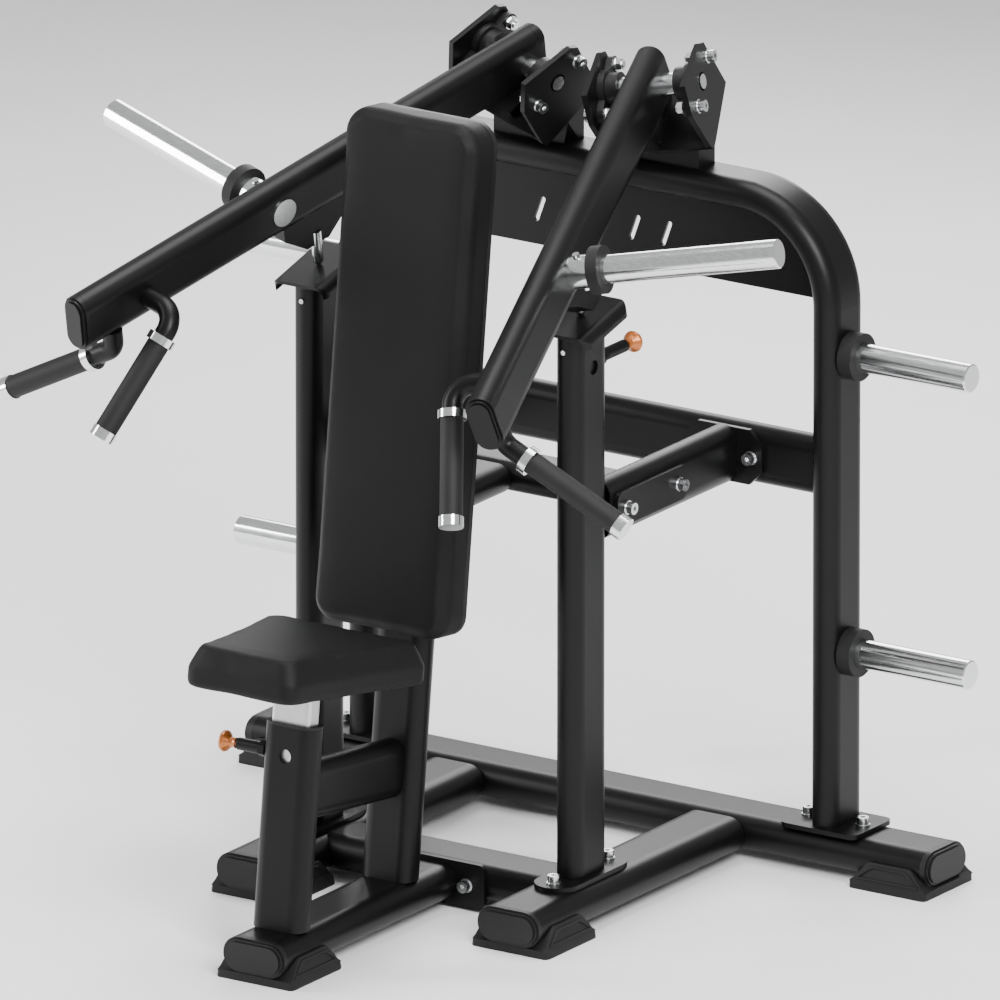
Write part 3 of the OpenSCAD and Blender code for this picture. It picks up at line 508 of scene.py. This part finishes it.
def ear_rim(side):
    """A raised border on the sloping face of an ear."""
    def on_face(u, share, out):
        v = EAR_FOOT_V + (EAR_TOP_V - EAR_FOOT_V) * share + out
        return Vector((u, side * v, FOOT_SKIRT + (FOOT_EAR - FOOT_SKIRT) * share))

    def trapezoid(inset):
        low, high = 0.06 + inset / EAR_SLANT, 0.97 - inset / EAR_SLANT
        a, b = 0.067 - inset * 1.5, FOOT_EAR_HALF - 0.003 - inset
        r = RIM_CORNER
        return [(-a, low), (a, low), (b + r * 0.7, high - 0.1), (b - r, high), (-b + r, high),
                (-b - r * 0.7, high - 0.1)]

    outer, inner = trapezoid(RIM_IN), trapezoid(RIM_IN + RIM_W)
    count = len(outer)
    points = [on_face(u, t, h) for h in (-0.001, RIM_PROUD) for ring in (outer, inner) for u, t in ring]
    faces = []
    for k in range(count):
        j = (k + 1) % count
        for a, b in ((2, 3), (0, 2), (3, 1), (1, 0)):
            faces.append((a * count + k, a * count + j, b * count + j, b * count + k))
    return points, faces


def make_feet():
    """Five feet where the CAD has them; those under the rear base tube lie along X."""
    for index, island in enumerate(pieces_of("rubber_feet")):
        middle = (Vector(map(min, *island)) + Vector(map(max, *island))) / 2
        lengthwise = abs(middle.y - ARCH_Y) < FOOT_HALF
        mesh = join_meshes(f"rubber_foot_{index + 1}", [foot_mesh(), ear_rim(1), ear_rim(-1)])
        turn = Matrix.Rotation(0 if lengthwise else math.pi / 2, 4, "Z")
        mesh.transform(Matrix.Translation((middle.x, middle.y, 0)) @ turn)
        foot = new_object(mesh.name, mesh, "rubber_black", "rubber_feet")
        weld = foot.modifiers.new("weld", "WELD")
        weld.merge_threshold = 0.00005
        bevel = foot.modifiers.new("bevel", "BEVEL")
        bevel.width = FOOT_BEVEL
        bevel.segments = 2
        bevel.angle_limit = math.radians(30)
        apply_modifiers(foot)
        smooth_shading(foot.data, math.radians(40))
        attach(foot, "frame")


make_feet()


# ---------------------------------------------------------------- room, light and camera
FLOOR_HALF = 14.0


def make_stage():
    """A plain pale floor and an even white surround."""
    size = FLOOR_HALF
    corners = [(-size, -size, 0), (size, -size, 0), (size, size, 0), (-size, size, 0)]
    mesh = mesh_from(corners, [(0, 1, 2, 3)], "floor")
    floor = bpy.data.objects.new("floor", mesh)
    SCENE.collection.objects.link(floor)
    mat, tree, shader = node_material("pale_floor", (0.93, 0.93, 0.93), 0.85)
    patches = noise_node(tree, object_coords(tree), 3.0)
    tree.links.new(ramp(tree, patches, (0.92,) * 3, (0.94,) * 3), shader.inputs["Base Color"])
    mesh.materials.append(mat)
    world = bpy.data.worlds.new("studio")
    world.use_nodes = True
    world.node_tree.nodes["Background"].inputs["Color"].default_value = (1, 1, 1, 1)
    world.node_tree.nodes["Background"].inputs["Strength"].default_value = 0.6
    SCENE.world = world


def area_light(name, place, target, size, energy):
    """A rectangular light at a place, aimed at a target."""
    data = bpy.data.lights.new(name, "AREA")
    data.shape = "RECTANGLE"
    data.size, data.size_y = size
    data.energy = energy
    light = bpy.data.objects.new(name, data)
    SCENE.collection.objects.link(light)
    light.location = place
    light.rotation_euler = (Vector(target) - Vector(place)).to_track_quat("-Z", "Y").to_euler()


def make_camera():
    """The camera, aimed by the rear arch's foot."""
    data = bpy.data.cameras.new("camera")
    data.lens = LENS_MM
    data.sensor_width = SENSOR_MM
    data.clip_end = 3 * CAMERA_DISTANCE
    camera = bpy.data.objects.new("camera", data)
    SCENE.collection.objects.link(camera)
    flat = Vector((math.sin(VIEW_AZIMUTH), -math.cos(VIEW_AZIMUTH), 0))
    towards = flat * math.cos(VIEW_ELEVATION) + Vector((0, 0, math.sin(VIEW_ELEVATION)))
    right = Vector((math.cos(VIEW_AZIMUTH), math.sin(VIEW_AZIMUTH), 0))
    up = right.cross(-towards)
    centre = Vector((0, ARCH_Y, 0)) + right * VIEW_SHIFT_ACROSS + up * VIEW_SHIFT_UP
    camera.location = centre + towards * CAMERA_DISTANCE
    camera.rotation_euler = (-towards).to_track_quat("-Z", "Y").to_euler()
    SCENE.camera = camera


make_stage()
area_light("key", (3.2, -2.4, 3.4), (0, 0, 0.7), (1.6, 2.4), 300)
area_light("left_strip", (-3.4, -2.2, 1.8), (0, 0, 0.7), (0.7, 3.0), 130)
area_light("top", (0, 0.2, 4.4), (0, 0, 0.6), (2.4, 2.4), 170)
area_light("rear", (-1.6, 3.6, 2.6), (0, 0, 0.8), (2.4, 2.0), 120)
make_camera()
